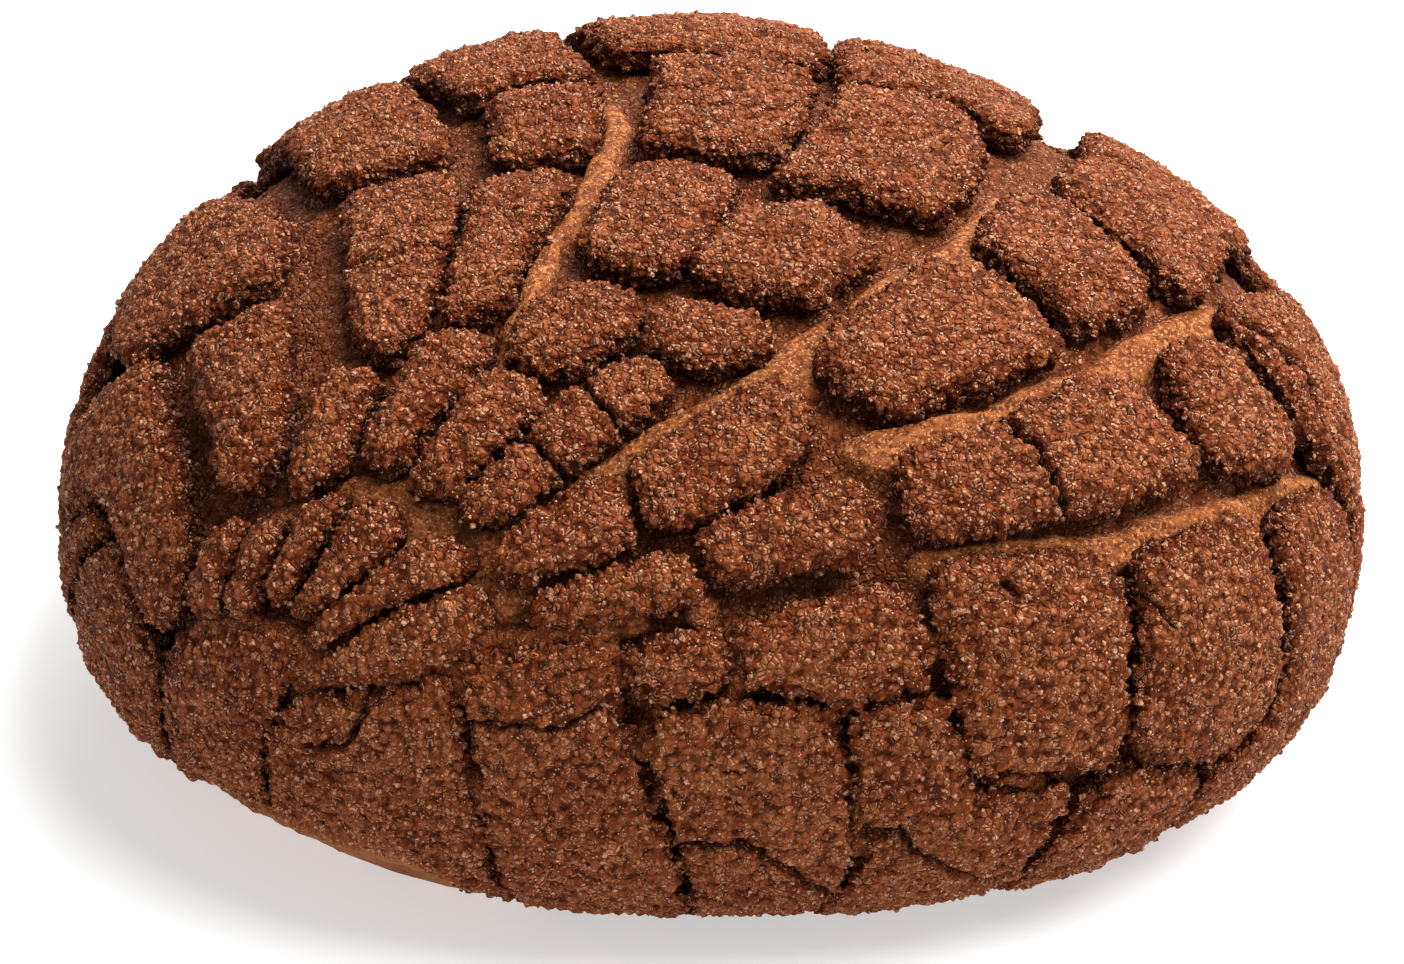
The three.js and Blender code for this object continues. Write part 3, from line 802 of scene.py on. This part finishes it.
def crumb_colours(n, place, relief, grain, height, side=0.0, crack_shade=0.0):
    """Cocoa paste with painted shade in its seams, pits, cracks, at its foot and on its walls, and
    painted highlights and glints on its grains: (colour, painted glint share).
    """
    patches = n.ramp(n.noise(place, 7.0), 0.35, 0.65)
    top = n.mix(patches, paint("paste"), paint("paste_light"))
    # The walls get the redder broken paste, darkened with painted shade
    edge = n.mix(n.ramp(n.noise(place, 2.4), 0.3, 0.7), paint("shaded_broken_edge"), paint("shaded_broken_edge_light"))
    colour = n.mix(n.ramp(side, 0.06, 0.5), top, edge)
    cell_side = n.edges(place, BEAD_SIZE)
    # Painted shade along the crevices between bead cells
    seam_shades = n.math("MULTIPLY", n.ramp(cell_side, 0.10, 0.02), n.ramp(n.noise(place, 1.3), 0.35, 0.6))
    colour = n.mix(n.math("MULTIPLY", seam_shades, 0.55), colour, paint("seam_shade"))
    # Painted shade: the crumb's low places, found from its relief, are darkened
    pit_shades = n.ramp(relief, 0.40, 0.04)
    colour = n.mix(n.math("MULTIPLY", pit_shades, 0.75), colour, paint("pit_shade"))
    # Painted shade in tiny pits: dark specks from fine noise
    fine = n.ramp(n.noise(place, 0.28, 2.0), 0.48, 0.68)
    colour = n.mix(n.math("MULTIPLY", fine, 0.42), colour, paint("small_pit_shade"))
    # Painted shade: darker towards the foot of each tile and on low crumb on the bread
    low = n.ramp(height, 0.92, 0.25)
    colour = n.mix(n.math("MULTIPLY", low, 0.80), colour, paint("foot_shade"))
    # Painted shade inside the cracks, by how deep they cut
    colour = n.mix(n.math("MULTIPLY", crack_shade, 0.85), colour, paint("crack_shade"))
    # Painted highlight in a ring round the middle of some bead cells
    rim_highlights = n.math("MULTIPLY", n.ramp(cell_side, 0.08, 0.14), n.ramp(cell_side, 0.26, 0.18))
    rim_highlights = n.math("MULTIPLY", rim_highlights, n.ramp(n.noise(place, 0.9, 1.0), 0.50, 0.62))
    colour = n.mix(n.math("MULTIPLY", rim_highlights, 0.65), colour, paint("grain_rim_highlight"))
    # Painted highlight on the tops of the small grains
    grain_top_highlight_share = n.math("MULTIPLY", n.ramp(grain, 0.62, 0.95), 0.28)
    colour = n.mix(grain_top_highlight_share, colour, paint("grain_top_highlight"))
    # Painted glints: small bright specks in chosen cells
    painted_glint = n.ramp(n.cells(place, 0.34), 0.28, 0.14)
    chosen = n.ramp(n.noise(place, 0.6, 1.0), 0.51, 0.58)
    painted_glint = n.math("MULTIPLY", painted_glint, chosen)
    return n.mix(n.math("MULTIPLY", painted_glint, 0.8), colour, paint("painted_glint")), painted_glint


def topping_material():
    """Baked cocoa and sugar paste: sandy brown tops, redder broken edges, painted shade in pits, seams,
    cracks and on the walls, painted highlights and glints, sugar crystals.
    """
    n = Nodes("cocoa_topping")
    place = n.place()
    numbers = [n.number(name) for name in ("relief", "grain", "height", "side", "crack_shade")]
    colour, painted_glint = crumb_colours(n, place, *numbers)
    sugar = n.number("sugar")
    crystal = n.mix(n.ramp(n.noise(place, 0.5), 0.38, 0.66), paint("crystal"), paint("crystal_light"))
    colour = n.mix(n.math("MULTIPLY", sugar, 0.8), colour, crystal)
    n.put(n.shader.inputs["Base Color"], colour)
    shine = n.math("MAXIMUM", painted_glint, sugar)
    n.put(n.shader.inputs["Roughness"], n.ramp(shine, 0.0, 1.0, 0.65, 0.25))
    n.shader.inputs["Specular IOR Level"].default_value = 0.07
    beads = n.ramp(n.edges(place, BEAD_SIZE), 0.0, 0.25)
    relief = n.math("ADD", n.noise(place, 0.3, 3.0), beads)
    n.put(n.shader.inputs["Normal"], n.bump(relief, 0.0003, 0.9))
    return n.material


def crust_material():
    """Bread crust: golden and fibrous where bare, with painted glints; covered elsewhere in the
    topping's chocolate crumbs and stain, with the crumbs' painted shade and highlights.
    """
    n = Nodes("bread_crust")
    place = n.place()
    fibre = n.add("ShaderNodeAttribute", {"attribute_name": "fibre"}).outputs["Vector"]
    golden, under = n.number("golden"), n.number("under")
    numbers = [n.number(name) for name in ("relief", "grain", "height")]
    # Chocolate crumbs on the crust, with their painted shade, highlights and glints
    stain_with_painted_light, painted_glint = crumb_colours(n, place, *numbers)
    warm = n.math("MULTIPLY", n.ramp(n.noise(place, 1.1, 3.0), 0.40, 0.62), 0.45)
    stain_with_painted_light = n.mix(warm, stain_with_painted_light, paint("stain"))
    streak = n.ramp(n.noise(fibre, 0.8, 3.0), 0.3, 0.7)
    bare = n.mix(streak, paint("crust"), paint("crust_light"))
    # Painted shade in the crust's pores, as dark specks
    bare = n.mix(n.ramp(n.noise(place, 0.5, 3.0), 0.47, 0.63), bare, paint("crust_pore_shade"))
    light = n.math("MULTIPLY", n.ramp(n.noise(place, 0.35, 1.0), 0.56, 0.64), 0.5)
    bare = n.mix(light, bare, paint("crust_fleck"))
    # Painted glints on the bare crust
    bare = n.mix(n.math("MULTIPLY", painted_glint, 0.7), bare, paint("crust_painted_glint"))
    torn = n.ramp(n.noise(place, 1.0, 4.0), 0.58, 0.50)
    bare_share = n.math("ADD", n.math("MULTIPLY", golden, 0.75), n.math("MULTIPLY", torn, 0.45))
    bare_share = n.ramp(bare_share, 0.66, 0.94)
    bare_share = n.math("MULTIPLY", bare_share, n.ramp(golden, 0.02, 0.25))
    colour = n.mix(bare_share, stain_with_painted_light, bare)
    sole = n.mix(n.ramp(n.noise(place, 5.0, 4.0), 0.35, 0.65), paint("sole"), paint("sole_light"))
    colour = n.mix(under, colour, sole)
    n.put(n.shader.inputs["Base Color"], colour)
    n.shader.inputs["Roughness"].default_value = 0.65
    n.shader.inputs["Specular IOR Level"].default_value = 0.08
    beads = n.math("MULTIPLY", n.ramp(n.edges(place, BEAD_SIZE), 0.0, 0.25), n.ramp(golden, 0.6, 0.2))
    relief = n.math("ADD", n.noise(fibre, 0.5, 3.0), n.noise(place, 0.4, 3.0))
    relief = n.math("ADD", relief, beads)
    n.put(n.shader.inputs["Normal"], n.bump(relief, 0.0003, 0.9))
    return n.material


# Stage


def plain_material(name, colour, roughness):
    n = Nodes(name)
    n.put(n.shader.inputs["Base Color"], colour)
    n.shader.inputs["Roughness"].default_value = roughness
    n.shader.inputs["Specular IOR Level"].default_value = 0.0
    return n.material


def make_floor():
    """A plain pale floor in metres, with a little light of its own to come out white."""
    half = FLOOR_HALF
    corners = [(-half, -half, 0), (half, -half, 0), (half, half, 0), (-half, half, 0)]
    mesh = bpy.data.meshes.new("floor")
    mesh.from_pydata(corners, [], [(0, 1, 2, 3)])
    pale = plain_material("floor", (FLOOR_GREY, FLOOR_GREY, FLOOR_GREY), 1.0)
    glow = pale.node_tree.nodes["Principled BSDF"].inputs
    glow["Emission Color"].default_value = (1, 1, 1, 1)
    glow["Emission Strength"].default_value = FLOOR_GLOW
    mesh.materials.append(pale)
    floor = bpy.data.objects.new("floor", mesh)
    bpy.context.scene.collection.objects.link(floor)


def make_light(name, place, aim, size, power):
    data = bpy.data.lights.new(name, "AREA")
    data.shape = "DISK"
    data.size = size
    data.energy = power
    light = bpy.data.objects.new(name, data)
    light.location = place
    light.rotation_mode = "QUATERNION"
    light.rotation_quaternion = (Vector(aim) - Vector(place)).to_track_quat("-Z", "Y")
    bpy.context.scene.collection.objects.link(light)


def make_world():
    world = bpy.data.worlds.new("studio")
    world.use_nodes = True
    background = world.node_tree.nodes["Background"]
    background.inputs["Color"].default_value = (1, 1, 1, 1)
    background.inputs["Strength"].default_value = ROOM_LIGHT
    bpy.context.scene.world = world


def make_camera():
    """The photographed view, from above the table's front through a long lens."""
    elevation = math.radians(CAMERA_ELEVATION)
    target = np.array([0.0, 0.0, CAMERA_TARGET_HEIGHT]) + DOME_AXIS
    back = np.array([0.0, -math.cos(elevation), math.sin(elevation)])
    data = bpy.data.cameras.new("camera")
    data.sensor_width = 36.0
    data.lens = CAMERA_LENS
    data.shift_x, data.shift_y = CAMERA_SHIFT
    data.clip_start = 0.01
    camera = bpy.data.objects.new("camera", data)
    camera.location = (target + CAMERA_DISTANCE * back) * MM
    camera.rotation_mode = "QUATERNION"
    camera.rotation_quaternion = Vector(-back).to_track_quat("-Z", "Y")
    bpy.context.scene.collection.objects.link(camera)
    bpy.context.scene.camera = camera


make_camera()
make_world()
make_floor()
make_light("key", place=(0.28, 0.02, 0.55), aim=(0, 0, 0.02), size=0.60, power=9.0)
make_light("back", place=(0.15, 0.60, 0.45), aim=(0, 0, 0.03), size=0.60, power=5.0)
bpy.context.scene.view_settings.view_transform = "Standard"

cocoa = topping_material()
crust = crust_material()
coarse = 1.0
for node_name in sorted(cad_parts):
    if node_name.startswith("topping_tile_"):
        sculpted_tile(node_name, node_name[len("topping_tile_"):], TILE_VOXEL * coarse, cocoa)
    elif node_name.startswith("topping_rim_"):
        sculpted_tile(node_name, "rim_" + node_name[-1], RIM_VOXEL * coarse, cocoa)
sculpted_bun(crust)
